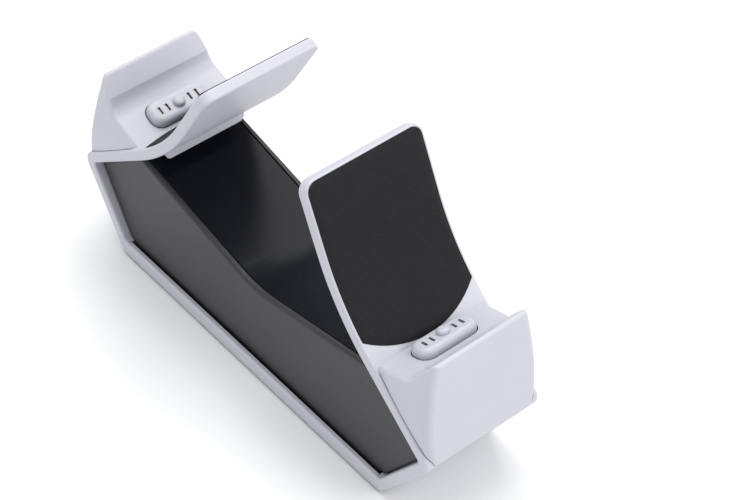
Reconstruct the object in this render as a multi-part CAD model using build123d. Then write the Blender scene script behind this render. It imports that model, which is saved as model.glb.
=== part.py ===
"""Charging dock for two hand controllers: two leaning cradles, back to back, on one low base.

Millimetres. X is across the dock, Y runs along it with the front cradle at -Y, Z is up.
The origin is on the table, under the middle of the dock. The rear cradle is drawn in the
Y-Z plane and the front one is its mirror image.
"""
import math
import os

from build123d import *

# Overall sizes
dock_length = 180.0
dock_width = 48.0
dock_height = 106.6

# Base tray and feet
foot_proud = 0.5
foot_depth = 0.8
foot_length = 34.0
foot_width = 6.0
foot_from_side = 7.0
foot_from_end = 23.0
tray_floor = 2.6
rail_height = 6.4

# Cradle band
band_thickness = 4.1
band_edge = 0.8
fold_height = 31.6
tip_radius = 4.2
post_angle = 55.8
post_foot = 2.4
foot_radius = 4.5
inner_radius = 1.5
seat_rail_angle = 38.4
seat_rail_length = 57.9
plate_angle = 62.4
plate_corner = 4.5
bend_radius = 86.0
lug_from_tip = 45.8
lug_from_side = 7.5
lug_drop = 4.1
lug_corner = 2.0
tab_length = 9.0
tab_from_side = 7.0
tab_thickness = 3.0

# Lip wedge on the seat rail
lip_proud = 0.5
lip_rise = 41.7
lip_lean = 7.8
lip_from_side = 1.8
lip_belly_from_side = 1.0
lip_belly_rise = 15.0
lip_top_from_side = 4.8
lip_corner = 2.4
lip_edge = 1.2
lip_wall = 2.4
strip_angle = 53.4
crease_drop = 8.2
wall_angle = 75.0
wall_round = 6.8
seat_angle = 20.0
seat_from_tip = 36.6
seat_wall = 2.0
lip_boss = 6.0
lip_boss_height = 14.0
lip_screw_from_tip = 19.0
lip_screw_from_side = 11.0

# Connector block, blades and their board
block_length = 23.4
block_width = 9.6
block_flat = 0.85
block_edge = 2.2
block_proud = 3.1
block_from_valley = 6.6
block_gap = 0.35
flange_thickness = 1.0
flange_reach = 1.6
flange_setback = 1.2
nub_diameter = 4.4
nub_height = 1.7
nub_flat = 0.9
blade_pitch_inner = 4.65
blade_pitch_outer = 7.7
blade_width = 0.5
blade_length = 2.4
blade_sunk = 0.8
slot_clearance = 0.25
board_thickness = 1.0

# Rubber pad on the plate
pad_from_side = 1.0
pad_thickness = 0.7
pad_corner = 4.0
pad_end_radius = 36.0
pad_from_valley = 0.4
pad_from_top = 0.6

# Black body between the cradles
panel_reveal = 1.8
panel_gap = 0.9
panel_thickness = 2.6
panel_draft = 1.0
panel_round = 1.4
deck_thickness = 2.2
deck_middle = 36.4
deck_slope = 12.0
deck_valley_radius = 40.0
deck_edge = 0.5
ledge_width = 1.5
ledge_thickness = 2.0
fit_gap = 0.15
deck_post = 7.0
deck_post_from_side = 15.0
deck_post_from_end = 21.0

# Main board and what is on it
main_end_gap = 6.5
main_side_gap = 4.4
main_thickness = 1.6
main_over_rail = 0.2
main_boss = 6.0
main_hole_inset = 4.0
socket_length = 6.0
socket_width = 8.0
socket_height = 6.0
socket_from_end = 10.0
chip_size = 7.0
chip_height = 1.0
chip_from_socket = 13.0
chip_offset = 6.0
jack_width = 9.0
jack_height = 10.5
jack_length = 13.0
jack_bore = 6.4
jack_bore_depth = 9.0
jack_pin = 2.0
jack_pin_length = 7.2
jack_recess = 0.6

# Ribbon leads
lead_width = 4.0
lead_thickness = 1.4
lead_exit = 5.0
lead_rise = 2.4
lead_bend = 6.0
lead_offset = 2.0
lead_slot_clearance = 1.0

# Screws
screw_diameter = 2.8
head_diameter = 5.2
head_height = 1.5
screw_bite = 6.0

# Worked-out sizes
half_width = dock_width / 2
half_length = dock_length / 2
floor_bottom = foot_proud
floor_top = floor_bottom + tray_floor
rail_inner = half_width - panel_reveal
lug_half = half_width - lug_from_side
tab_half = half_width - tab_from_side
lip_top = fold_height + lip_rise
lip_foot_half = half_width - lip_from_side
lip_belly_half = half_width - lip_belly_from_side
lip_top_half = half_width - lip_top_from_side
lip_screw_x = half_width - lip_screw_from_side
block_corner = block_width / 2 - block_flat
nub_round = nub_diameter / 2 - nub_flat
pad_half = half_width - pad_from_side
panel_outer = rail_inner - panel_gap
panel_inner = panel_outer - panel_thickness
deck_half = panel_inner - fit_gap
deck_post_x = half_width - deck_post_from_side
main_half_width = panel_inner - main_side_gap
main_height = rail_height + main_over_rail
board_top = main_height + main_thickness
lead_run_height = board_top + socket_height + lead_bend + lead_rise


def along(point, angle, distance):
    """Point at a distance from another, in the direction of an angle in degrees."""
    turn = math.radians(angle)
    return (point[0] + distance * math.cos(turn), point[1] + distance * math.sin(turn))


def meet(point_a, angle_a, point_b, angle_b):
    """Point where two lines cross, each given by a point and its angle."""
    ax, ay = math.cos(math.radians(angle_a)), math.sin(math.radians(angle_a))
    bx, by = math.cos(math.radians(angle_b)), math.sin(math.radians(angle_b))
    dx, dy = point_b[0] - point_a[0], point_b[1] - point_a[1]
    distance = (dx * by - dy * bx) / (ax * by - ay * bx)
    return (point_a[0] + distance * ax, point_a[1] + distance * ay)


def outline(points, rounds=()):
    """Closed face through points, with some of its corners rounded."""
    face = make_face(Polyline(*points, close=True))
    for corner, radius in rounds:
        face = fillet(face.vertices().sort_by_distance((*corner, 0))[0], radius)
    return face


def across(face, half):
    """Solid made by pulling a Y-Z outline to both sides of the middle."""
    return extrude(Plane.YZ * face, amount=half, both=True)


def between(face, x_from, x_to):
    """Solid made by pulling a Y-Z outline from one X to another."""
    return extrude(Plane.YZ.offset(x_from) * face, amount=x_to - x_from)


def block(x_range, y_range, z_range):
    """Box between three pairs of limits."""
    low = Vector(x_range[0], y_range[0], z_range[0])
    high = Vector(x_range[1], y_range[1], z_range[1])
    return Pos(*((low + high) / 2)) * Box(*(high - low))


# Lines of the cradle, in the Y-Z plane. Angles are measured from +Y, so lines that rise
# towards the middle of the dock point at 180 degrees less their slope. The tip is the sharp
# corner that the fold is rounded from.
rail_line = 180 - seat_rail_angle
plate_line = 180 - plate_angle
fold_half = math.radians((seat_rail_angle + post_angle) / 2)
fold_centre = (half_length - lip_proud - tip_radius, fold_height)
tip = along(fold_centre, (post_angle - seat_rail_angle) / 2, tip_radius / math.sin(fold_half))
bend = along(tip, rail_line, seat_rail_length)
plate_top = meet(bend, plate_line, (0, dock_height), 0)
plate_top_back = along(plate_top, plate_line + 90, band_thickness)
rail_under = along(tip, rail_line + 90, band_thickness)
back_bend = meet(rail_under, rail_line, plate_top_back, plate_line)
foot_corner = meet(tip, post_angle, (0, floor_bottom), 0)
post_inside = along(tip, post_angle + 90, band_thickness)
inner_tip = meet(post_inside, post_angle, rail_under, rail_line)
inner_foot = meet(post_inside, post_angle, (0, rail_height), 0)
tray_end = foot_corner[0] - post_foot

cradle_face = outline(
    [
        (tray_end, floor_bottom),
        foot_corner,
        tip,
        bend,
        plate_top,
        plate_top_back,
        back_bend,
        inner_tip,
        inner_foot,
        (tray_end, rail_height),
    ],
    [
        (foot_corner, foot_radius),
        (tip, tip_radius),
        (bend, bend_radius),
        (back_bend, bend_radius + band_thickness),
        (inner_tip, inner_radius),
        (inner_foot, inner_radius),
    ],
)

# Lines of the lip. The valley is where its seat meets the seat rail, and the wall rises from
# the seat to the crease, under the strip that leads up to the crest.
lip_foot = (half_length, fold_height)
lip_crest_point = meet(lip_foot, 90 + lip_lean, (0, lip_top), 0)
crease = meet(lip_crest_point, 180 + strip_angle, (0, lip_top - crease_drop), 0)
valley = along(tip, rail_line, seat_from_tip)
wall_foot = meet(crease, 180 + wall_angle, valley, seat_angle)
block_centre = along(valley, seat_angle, block_from_valley)
seat = Plane(
    origin=(0, *block_centre),
    x_dir=(1, 0, 0),
    z_dir=(0, -math.sin(math.radians(seat_angle)), math.cos(math.radians(seat_angle))),
)


def seat_point(distance, height):
    """Y-Z point given by its distance from the block's centre along the seat and its height over it."""
    return along(along(block_centre, seat_angle, distance), seat_angle + 90, height)


lead_start = seat_point(lead_offset, -seat_wall - flange_thickness - board_thickness)
lead_corner = along(lead_start, seat_angle - 90, lead_exit)
lip_screw_point = along(tip, rail_line, lip_screw_from_tip)
blade_places = [-blade_pitch_outer, -blade_pitch_inner, blade_pitch_inner, blade_pitch_outer]
tab_from = tray_end - tab_length
tab_screw_y = tray_end - tab_length / 2
tab_screw_x = tab_half / 2
deck_post_y = tray_end - deck_post_from_end
main_half_length = deck_post_y - deck_post / 2 - main_end_gap
socket_y = main_half_length - socket_from_end
chip_y = socket_y - chip_from_socket


def deck_z(y, drop=0.0):
    """Height of the deck over a place along the dock, less a drop."""
    return deck_middle + abs(y) * math.tan(math.radians(deck_slope)) - drop


def screw(bite):
    """Screw along Z: its flat head hangs under the plane of its seat, its shank goes up."""
    head = extrude(Circle(head_diameter / 2), amount=-head_height)
    return head + extrude(Circle(screw_diameter / 2), amount=bite)


def rail_plane(point, x=0.0):
    """Plane at a Y-Z point, square to the seat rail, that looks up through the rail."""
    turn = math.radians(90 - seat_rail_angle)
    return Plane(origin=(x, *point), x_dir=(1, 0, 0), z_dir=(0, math.cos(turn), math.sin(turn)))


def lip_screw_plane(x):
    """Plane on the seat rail's lower face, looking up through the rail into a lip boss."""
    return rail_plane(along(lip_screw_point, rail_line + 90, band_thickness), x)


def make_cradle():
    """Bent band: end post, seat rail and back plate in one, with its lug and its fixing tab."""
    band = across(cradle_face, half_width)
    middle = ((plate_top[0] + plate_top_back[0]) / 2, (plate_top[1] + plate_top_back[1]) / 2)
    for side in (-half_width, half_width):
        band = fillet(band.edges().sort_by_distance((side, *middle))[0], plate_corner)
    rims = [edge for face in band.faces().filter_by(Axis.X) for edge in face.outer_wire().edges()]
    seam = [edge for edge in rims if abs(edge.center().Y - tray_end) < fit_gap]
    band = fillet([edge for edge in rims if edge not in seam], band_edge)

    lug_top = along(rail_under, rail_line, lug_from_tip)
    lug_low = along(lug_top, -90, lug_drop)
    lug_end = meet(lug_low, 0, rail_under, rail_line)
    inside = along(lug_end, rail_line - 90, band_thickness / 2)
    lug = across(outline([lug_low, lug_end, inside, along(lug_top, 90, band_thickness / 2)]), lug_half)
    lug = fillet(lug.edges().filter_by(Axis.Y).group_by(Axis.Z)[0], lug_corner)
    band += lug

    tab_top = floor_top + tab_thickness
    band += block((-tab_half, tab_half), (tab_from, tray_end + post_foot / 2), (floor_top, tab_top))
    for x in (-tab_screw_x, tab_screw_x):
        boss = extrude(Circle(lip_boss / 2), amount=screw_bite + tab_thickness)
        pilot = extrude(Circle(screw_diameter / 2), amount=screw_bite)
        band += Pos(x, tab_screw_y, floor_top) * boss
        band -= Pos(x, tab_screw_y, floor_top) * pilot

    slot_x = lead_width / 2 + lead_slot_clearance
    slot_y = lead_thickness / 2 + lead_slot_clearance
    lead_y, lead_z = lead_corner
    band -= block((-slot_x, slot_x), (lead_y - slot_y, lead_y + slot_y), (fold_height, lead_z))
    for x in (-lip_screw_x, lip_screw_x):
        band -= lip_screw_plane(x) * extrude(Circle(screw_diameter / 2), amount=band_thickness)
    return band


def make_lip():
    """Hollow wedge on the seat rail: bare end face, crest, and the seat with the block's window."""
    wedge = outline(
        [lip_foot, lip_crest_point, crease, wall_foot, valley, fold_centre],
        [(wall_foot, wall_round)],
    )
    section = (wedge - cradle_face).faces().sort_by(SortBy.AREA)[-1]

    low = fold_height
    belly = fold_height + lip_belly_rise
    right = ThreePointArc((lip_foot_half, low), (lip_belly_half, belly), (lip_top_half, lip_top))
    left = ThreePointArc((-lip_top_half, lip_top), (-lip_belly_half, belly), (-lip_foot_half, low))
    top = Line((lip_top_half, lip_top), (-lip_top_half, lip_top))
    foot = Line((-lip_foot_half, low), (lip_foot_half, low))
    front = make_face([right, top, left, foot])
    lip = across(section, half_width) & extrude(Plane.XZ * front, amount=-dock_length)

    face_edges = lip.faces().sort_by(Axis.Y)[-1].edges()
    lip = fillet(face_edges - face_edges.filter_by(Axis.X), lip_corner)
    rail_top = rail_plane(valley)
    flanks = lip.faces().sort_by(Axis.X)
    rims = [edge for flank in (flanks[0], flanks[-1]) for edge in flank.edges()]
    rims = [edge for edge in rims if rail_top.to_local_coords(edge.center()).Z > fit_gap]
    rims = [edge for edge in rims if edge.center().Y < lip_crest_point[0]]
    ridges = lip.edges().filter_by(Axis.X)
    rims += [ridges.sort_by_distance((0, *point))[0] for point in (lip_crest_point, crease)]
    lip = fillet(rims, lip_edge)

    inner_face = along(lip_foot, 180 + lip_lean, lip_wall)
    inner_strip = along(lip_crest_point, strip_angle - 90, lip_wall)
    inner_wall = along(crease, wall_angle - 90, lip_wall)
    inner_seat = along(valley, seat_angle - 90, seat_wall)
    hollow_face = outline(
        [
            meet(inner_face, 90 + lip_lean, rail_under, rail_line),
            meet(inner_face, 90 + lip_lean, inner_strip, strip_angle),
            meet(inner_strip, strip_angle, inner_wall, wall_angle),
            meet(inner_wall, wall_angle, inner_seat, seat_angle),
            meet(inner_seat, seat_angle, rail_under, rail_line),
        ]
    )
    hollow = across(hollow_face, lip_top_half - lip_wall)
    for x in (-lip_screw_x, lip_screw_x):
        boss = extrude(Circle(lip_boss / 2), amount=band_thickness + lip_boss_height)
        hollow -= lip_screw_plane(x) * boss
    lip -= hollow
    for x in (-lip_screw_x, lip_screw_x):
        pilot = extrude(Circle(screw_diameter / 2), amount=band_thickness + screw_bite)
        lip -= lip_screw_plane(x) * pilot

    window = RectangleRounded(
        block_length + 2 * block_gap, block_width + 2 * block_gap, block_corner + block_gap
    )
    return lip - seat * extrude(window, amount=seat_wall + block_proud, both=True)


def make_pad():
    """Thin rubber sheet that follows the band from the valley, with a round end, to the top edge."""
    low = along(valley, rail_line, pad_from_valley)
    high = along(plate_top, plate_line + 180, pad_from_top)
    low_out = along(low, rail_line - 90, pad_thickness)
    high_out = along(high, plate_line - 90, pad_thickness)
    bend_out = meet(low_out, rail_line, high_out, plate_line)
    face = outline(
        [low, bend, high, high_out, bend_out, low_out],
        [(bend, bend_radius), (bend_out, bend_radius - pad_thickness)],
    )
    pad = across(face, pad_half)
    middle = ((high[0] + high_out[0]) / 2, (high[1] + high_out[1]) / 2)
    for side in (-pad_half, pad_half):
        pad = fillet(pad.edges().sort_by_distance((side, *middle))[0], pad_corner)
    rest = Pos(0, -pad_end_radius - dock_height / 2) * Rectangle(dock_width, dock_height)
    round_end = Pos(0, -pad_end_radius) * Circle(pad_end_radius) + rest
    return pad & rail_plane(low) * extrude(round_end, amount=dock_height, both=True)


def make_connector():
    """Connector block with its guide nub, blade slots and the flange that holds it in the lip."""
    depth = seat_wall + flange_thickness
    body = extrude(RectangleRounded(block_length, block_width, block_corner), amount=block_proud)
    body = fillet(body.faces().sort_by(Axis.Z)[-1].edges(), block_edge)
    body += extrude(RectangleRounded(block_length, block_width, block_corner), amount=-seat_wall)
    flange_half = block_length / 2 + flange_reach
    flange_span = (-block_width / 2 + flange_setback, block_width / 2 + flange_reach)
    body += block((-flange_half, flange_half), flange_span, (-depth, -seat_wall))
    nub = Pos(0, 0, block_proud) * extrude(Circle(nub_diameter / 2), amount=nub_height)
    nub = fillet(nub.faces().sort_by(Axis.Z)[-1].edges(), nub_round)
    body += nub
    slot_x = blade_width / 2 + slot_clearance
    slot_y = blade_length / 2 + slot_clearance
    for x in blade_places:
        body -= block((x - slot_x, x + slot_x), (-slot_y, slot_y), (-depth, block_proud))
    return seat * body


def make_contacts():
    """Four upright metal blades that stand on the contact board, below the block's face."""
    foot = -seat_wall - flange_thickness
    height = block_proud - blade_sunk
    half_x, half_y = blade_width / 2, blade_length / 2
    blades = [block((x - half_x, x + half_x), (-half_y, half_y), (foot, height)) for x in blade_places]
    return [seat * blade for blade in blades]


def make_contact_board():
    """Small board under the block's flange."""
    top = -seat_wall - flange_thickness
    half = block_length / 2 + flange_reach
    span = (-block_width / 2 + flange_setback, block_width / 2 + flange_reach)
    return seat * block((-half, half), span, (top - board_thickness, top))


def make_leads():
    """Flat ribbon lead from the contact board, down through the seat rail, to the main board's socket."""
    route = [
        lead_start,
        lead_corner,
        (lead_corner[0], lead_run_height),
        (socket_y, lead_run_height),
        (socket_y, board_top + socket_height),
    ]
    path = FilletPolyline(*[(0, y, z) for y, z in route], radius=lead_bend)
    start = Plane(origin=path @ 0, x_dir=(1, 0, 0), z_dir=path % 0)
    return sweep(start * Rectangle(lead_width, lead_thickness), path=path)


def body_outline(drop, gap):
    """Y-Z outline of the space under the deck, less a drop, at a gap from the two cradles."""
    middle = (0, deck_z(0, drop))
    end_height = deck_z(half_length, drop)
    under_deck = outline(
        [
            (-half_length, floor_top),
            (half_length, floor_top),
            (half_length, end_height),
            middle,
            (-half_length, end_height),
        ],
        [(middle, deck_valley_radius + drop)],
    )
    rear = offset(cradle_face, amount=gap)
    inside = under_deck - rear - mirror(rear, about=Plane.YZ)
    return inside.faces().sort_by(SortBy.AREA)[-1]


def make_panel():
    """Left side panel: stands in the frame's opening, with a round ridge and a ledge for the deck."""
    panel = between(body_outline(0, panel_gap), -panel_outer, -panel_inner)
    lean = (dock_height - floor_top) * math.tan(math.radians(panel_draft))
    corners = [
        (-panel_outer, floor_top),
        (0, floor_top),
        (0, dock_height),
        (-panel_outer + lean, dock_height),
    ]
    panel &= extrude(Plane.XZ * outline(corners), amount=dock_length, both=True)
    rim = panel.faces().sort_by(Axis.X)[0].edges()
    ridge = [edge for edge in rim if edge.center().Z > deck_z(edge.center().Y) - panel_round]
    panel = fillet(ridge, panel_round)
    under = body_outline(deck_thickness, panel_gap)
    ledge = under - body_outline(deck_thickness + ledge_thickness, panel_gap)
    ledge = ledge.faces().sort_by(SortBy.AREA)[-1]
    return panel + between(ledge, -panel_inner, -panel_inner + ledge_width)


def make_right_panel():
    """Right side panel: the left one's mirror image, with the window for the power inlet."""
    panel = mirror(make_panel(), about=Plane.YZ)
    half = jack_width / 2 + fit_gap
    window = ((panel_inner - ledge_width, half_width), (-half, half))
    return panel - block(*window, (board_top - fit_gap, board_top + jack_height + fit_gap))


def make_deck():
    """Black valley between the cradles, with chamfered sides, on four long screw posts."""
    face = body_outline(0, fit_gap) - body_outline(deck_thickness, fit_gap)
    deck = across(face.faces().sort_by(SortBy.AREA)[-1], deck_half)
    sides = [edge for side in deck.faces().filter_by(Axis.X) for edge in side.edges()]
    upper = [edge for edge in sides if edge.center().Z > deck_z(edge.center().Y) - deck_edge]
    deck = chamfer(upper, deck_edge)
    for x in (-deck_post_x, deck_post_x):
        for y in (-deck_post_y, deck_post_y):
            under = deck_z(y, deck_thickness / 2)
            deck += Pos(x, y, floor_top) * extrude(Circle(deck_post / 2), amount=under - floor_top)
            deck -= Pos(x, y, floor_top) * extrude(Circle(screw_diameter / 2), amount=screw_bite)
    return deck


base_screw_places = [(x, y) for x in (-tab_screw_x, tab_screw_x) for y in (-tab_screw_y, tab_screw_y)]
base_screw_places += [(x, y) for x in (-deck_post_x, deck_post_x) for y in (-deck_post_y, deck_post_y)]
main_hole_x = main_half_width - main_hole_inset
main_hole_y = main_half_length - main_hole_inset
main_hole_places = [(x, y) for x in (-main_hole_x, main_hole_x) for y in (-main_hole_y, main_hole_y)]
foot_x = half_width - foot_from_side
foot_y = tray_end - foot_from_end
foot_places = [(x, y) for x in (-foot_x, foot_x) for y in (-foot_y, foot_y)]
head_seat = floor_bottom + head_height


def foot_shape():
    """Outline of one rubber foot."""
    return SlotOverall(foot_length, foot_width, rotation=90)


def make_tray():
    """Floor with two side rails, bosses for the main board, foot recesses and screw holes."""
    tray = block((-half_width, half_width), (-tray_end, tray_end), (floor_bottom, rail_height))
    tray = fillet(tray.edges().filter_by(Axis.Y), band_edge)
    tray -= block((-rail_inner, rail_inner), (-tray_end, tray_end), (floor_top, rail_height))
    for x, y in main_hole_places:
        tray += Pos(x, y, floor_top) * extrude(Circle(main_boss / 2), amount=main_height - floor_top)
        tray -= Pos(x, y, head_seat) * extrude(Circle(screw_diameter / 2), amount=main_height - head_seat)
    for x, y in base_screw_places:
        tray -= Pos(x, y, floor_bottom) * extrude(Circle(head_diameter / 2), amount=head_height)
        tray -= Pos(x, y, floor_bottom) * extrude(Circle(screw_diameter / 2), amount=tray_floor)
    for x, y in foot_places:
        tray -= Pos(x, y, floor_bottom) * extrude(foot_shape(), amount=foot_depth)
    return tray


def make_feet():
    """Four rubber strips, each in its recess and standing a little proud."""
    foot = extrude(foot_shape(), amount=foot_proud + foot_depth)
    return [Pos(x, y, 0) * foot for x, y in foot_places]


def make_base_screws():
    """Screws up through the tray into the cradle tabs and the deck posts."""
    one = screw(tray_floor - head_height + screw_bite)
    return [Pos(x, y, head_seat) * one for x, y in base_screw_places]


def make_lip_screws():
    """Screws through one seat rail into its lip's bosses."""
    one = screw(band_thickness + screw_bite)
    return [lip_screw_plane(x) * one for x in (-lip_screw_x, lip_screw_x)]


def make_main_board():
    """Charging board, with its screw holes."""
    sheet = Rectangle(2 * main_half_width, 2 * main_half_length)
    board = Pos(0, 0, main_height) * extrude(sheet, amount=main_thickness)
    for x, y in main_hole_places:
        board -= Pos(x, y, main_height) * extrude(Circle(screw_diameter / 2), amount=main_thickness)
    return board


def make_board_screws():
    """Screws down through the main board into the tray's bosses."""
    one = Rot(180, 0, 0) * screw(main_thickness + main_height - head_seat)
    return [Pos(x, y, board_top) * one for x, y in main_hole_places]


def make_lead_sockets():
    """Two sockets that the leads go into."""
    socket = extrude(Rectangle(socket_width, socket_length), amount=socket_height)
    return [Pos(0, y, board_top) * socket for y in (-socket_y, socket_y)]


def make_chips():
    """One charging chip for each cradle."""
    chip = extrude(Rectangle(chip_size, chip_size), amount=chip_height)
    return [Pos(-chip_offset, y, board_top) * chip for y in (-chip_y, chip_y)]


def make_jack():
    """Power inlet: a square barrel with a round bore and a centre pin, open to +X."""
    front = panel_outer - jack_recess
    half = jack_width / 2
    barrel = block((front - jack_length, front), (-half, half), (board_top, board_top + jack_height))
    mouth = Plane(origin=(front, 0, board_top + jack_height / 2), x_dir=(0, 1, 0), z_dir=(1, 0, 0))
    barrel -= mouth * extrude(Circle(jack_bore / 2), amount=-jack_bore_depth)
    pin = extrude(Circle(jack_pin / 2), amount=jack_pin_length)
    return barrel + mouth.offset(-jack_bore_depth) * pin


def save(name, shapes):
    """Write one piece, or a group of like pieces, as one file."""
    solids = [solid for shape in shapes for solid in shape.solids()]
    piece = solids[0] if len(solids) == 1 else Compound(children=solids, label=name)
    export_step(piece, f"parts/{name}.step")


def save_ends(name, shapes):
    """Write a rear piece and its mirror image at the front."""
    save(f"rear_{name}", shapes)
    save(f"front_{name}", [mirror(shape, about=Plane.XZ) for shape in shapes])


os.makedirs("parts", exist_ok=True)
save("base_tray", [make_tray()])
save("feet", make_feet())
save_ends("cradle", [make_cradle()])
save_ends("lip", [make_lip()])
save_ends("pad", [make_pad()])
save_ends("connector", [make_connector()])
save_ends("contacts", make_contacts())
save_ends("contact_board", [make_contact_board()])
save_ends("leads", [make_leads()])
save_ends("lip_screws", make_lip_screws())
save("left_panel", [make_panel()])
save("right_panel", [make_right_panel()])
save("deck", [make_deck()])
save("main_board", [make_main_board()])
save("lead_sockets", make_lead_sockets())
save("charge_chips", make_chips())
save("inlet_jack", [make_jack()])
save("base_screws", make_base_screws())
save("board_screws", make_board_screws())
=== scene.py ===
# %% [markdown]
# # A charging dock for two hand controllers
# This lesson dresses a finished CAD model. The solids already have the right size and place, so Blender's
# share is the finish: moulded plastic, rubber, plated metal, the fine lines where parts meet, and a soft
# studio. We load the solids first, with their places baked into their meshes. Nothing we add may make the
# dock bigger.

# %% Load the solids and bake in their places
import math

import bmesh
import bpy
from mathutils import Matrix, Vector


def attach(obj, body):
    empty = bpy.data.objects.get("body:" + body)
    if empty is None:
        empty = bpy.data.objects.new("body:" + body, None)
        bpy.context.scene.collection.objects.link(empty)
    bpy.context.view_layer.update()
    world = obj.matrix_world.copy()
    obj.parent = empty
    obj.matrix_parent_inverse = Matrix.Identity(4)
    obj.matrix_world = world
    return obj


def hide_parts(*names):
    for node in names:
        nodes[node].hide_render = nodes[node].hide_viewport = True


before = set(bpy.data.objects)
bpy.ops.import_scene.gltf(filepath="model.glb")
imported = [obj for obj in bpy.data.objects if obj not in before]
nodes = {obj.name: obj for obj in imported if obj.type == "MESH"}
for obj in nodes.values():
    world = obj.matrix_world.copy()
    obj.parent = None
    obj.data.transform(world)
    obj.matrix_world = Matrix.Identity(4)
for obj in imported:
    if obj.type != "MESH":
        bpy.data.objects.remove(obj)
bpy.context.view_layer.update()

MM = 0.001

# %% [markdown]
# ## The camera
# The view was worked out from edges whose real directions are known: the ends of the dock are square to its
# length, so their vanishing points give the lens and the angle. A camera's matrix holds its right, up and
# back directions as columns. Writing them out keeps the slight roll that a "look at" helper would lose.

# %% Place the camera
camera_data = bpy.data.cameras.new("studio_camera")
camera_data.sensor_width = 36.0
camera_data.lens = 114.56
camera_data.clip_end = 20.0
camera = bpy.data.objects.new("studio_camera", camera_data)
bpy.context.scene.collection.objects.link(camera)
view_right = (0.75629, -0.65252, 0.04739)
view_up = (0.44439, 0.56552, 0.69477)
view_back = (-0.48014, -0.50439, 0.71767)
view_place = (-0.36218, -0.41467, 0.61158)
view_rows = [list(row) for row in zip(view_right, view_up, view_back, view_place)]
camera.matrix_world = Matrix(view_rows + [[0, 0, 0, 1]])
bpy.context.scene.camera = camera
print("camera at", [round(v, 3) for v in camera.matrix_world.translation])

# %% [markdown]
# ## Shared effects as node groups
# Several finishes share the same small effects. A node group is a reusable box of nodes: we build it once,
# give its sockets names, and place it in each material with its own numbers. The groups here only give masks
# and heights. The shader itself stays in the material, where the numbers that are the same all over are set
# straight on its sockets.

# %% Helpers for node groups
def new_group(name, inputs, outputs):
    """Empty shader group with number inputs (name, default) and number outputs."""
    group = bpy.data.node_groups.new(name, "ShaderNodeTree")
    for label, value in inputs:
        socket = group.interface.new_socket(label, in_out="INPUT", socket_type="NodeSocketFloat")
        socket.default_value = value
    for label in outputs:
        group.interface.new_socket(label, in_out="OUTPUT", socket_type="NodeSocketFloat")
    return group, group.nodes.new("NodeGroupInput"), group.nodes.new("NodeGroupOutput")


def math_node(tree, operation, first, second):
    """Math node whose two inputs are sockets or plain numbers."""
    node = tree.nodes.new("ShaderNodeMath")
    node.operation = operation
    for place, value in enumerate((first, second)):
        if isinstance(value, (int, float)):
            node.inputs[place].default_value = value
        else:
            tree.links.new(value, node.inputs[place])
    return node.outputs[0]


print("group helpers ready")

# %% [markdown]
# ### Moulded grain
# A mould for this kind of plastic is spark-eroded, which leaves a grain of a few tenths of a millimetre that
# breaks up reflections. We could use a bump image, but noise in object space needs no unwrapping and has a
# real size: a scale of 2000 repeats every half millimetre, because one unit is one metre.

# %% Grain group
fleck_share = 0.4
grain_inputs = [("Scale", 2200.0), ("Detail", 2.0)]
grain_group, grain_in, grain_out = new_group("moulded_grain", grain_inputs, ["Height", "Fleck"])
grain_place = grain_group.nodes.new("ShaderNodeTexCoord")
grain_noise = grain_group.nodes.new("ShaderNodeTexNoise")
grain_cell = grain_group.nodes.new("ShaderNodeTexVoronoi")
for texture in (grain_noise, grain_cell):
    grain_group.links.new(grain_place.outputs["Object"], texture.inputs["Vector"])
    grain_group.links.new(grain_in.outputs["Scale"], texture.inputs["Scale"])
grain_group.links.new(grain_in.outputs["Detail"], grain_noise.inputs["Detail"])
grain_fleck = math_node(grain_group, "MULTIPLY", grain_cell.outputs["Distance"], fleck_share)
grain_height = math_node(grain_group, "ADD", grain_noise.outputs["Fac"], grain_fleck)
grain_group.links.new(grain_height, grain_out.inputs["Height"])
grain_group.links.new(grain_cell.outputs["Distance"], grain_out.inputs["Fleck"])
print("group:", grain_group.name, "nodes:", len(grain_group.nodes))

# %% [markdown]
# ### Tone drift
# No moulding is the same shade all over: flow and thickness shift it a little over some centimetres. A soft
# noise, spread round its middle and clamped, gives a slow mask between 0 and 1 for mixing two near colours.

# %% Drift group
noise_middle = 0.5
drift_inputs = [("Scale", 30.0), ("Contrast", 1.4)]
drift_group, drift_in, drift_out = new_group("tone_drift", drift_inputs, ["Mask"])
drift_place = drift_group.nodes.new("ShaderNodeTexCoord")
drift_noise = drift_group.nodes.new("ShaderNodeTexNoise")
drift_noise.inputs["Detail"].default_value = 3.0
drift_group.links.new(drift_place.outputs["Object"], drift_noise.inputs["Vector"])
drift_group.links.new(drift_in.outputs["Scale"], drift_noise.inputs["Scale"])
drift_centred = math_node(drift_group, "SUBTRACT", drift_noise.outputs["Fac"], noise_middle)
drift_spread = math_node(drift_group, "MULTIPLY", drift_centred, drift_in.outputs["Contrast"])
drift_clamp = drift_group.nodes.new("ShaderNodeClamp")
drift_raised = math_node(drift_group, "ADD", drift_spread, noise_middle)
drift_group.links.new(drift_raised, drift_clamp.inputs["Value"])
drift_group.links.new(drift_clamp.outputs[0], drift_out.inputs["Mask"])
print("group:", drift_group.name, "nodes:", len(drift_group.nodes))
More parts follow.
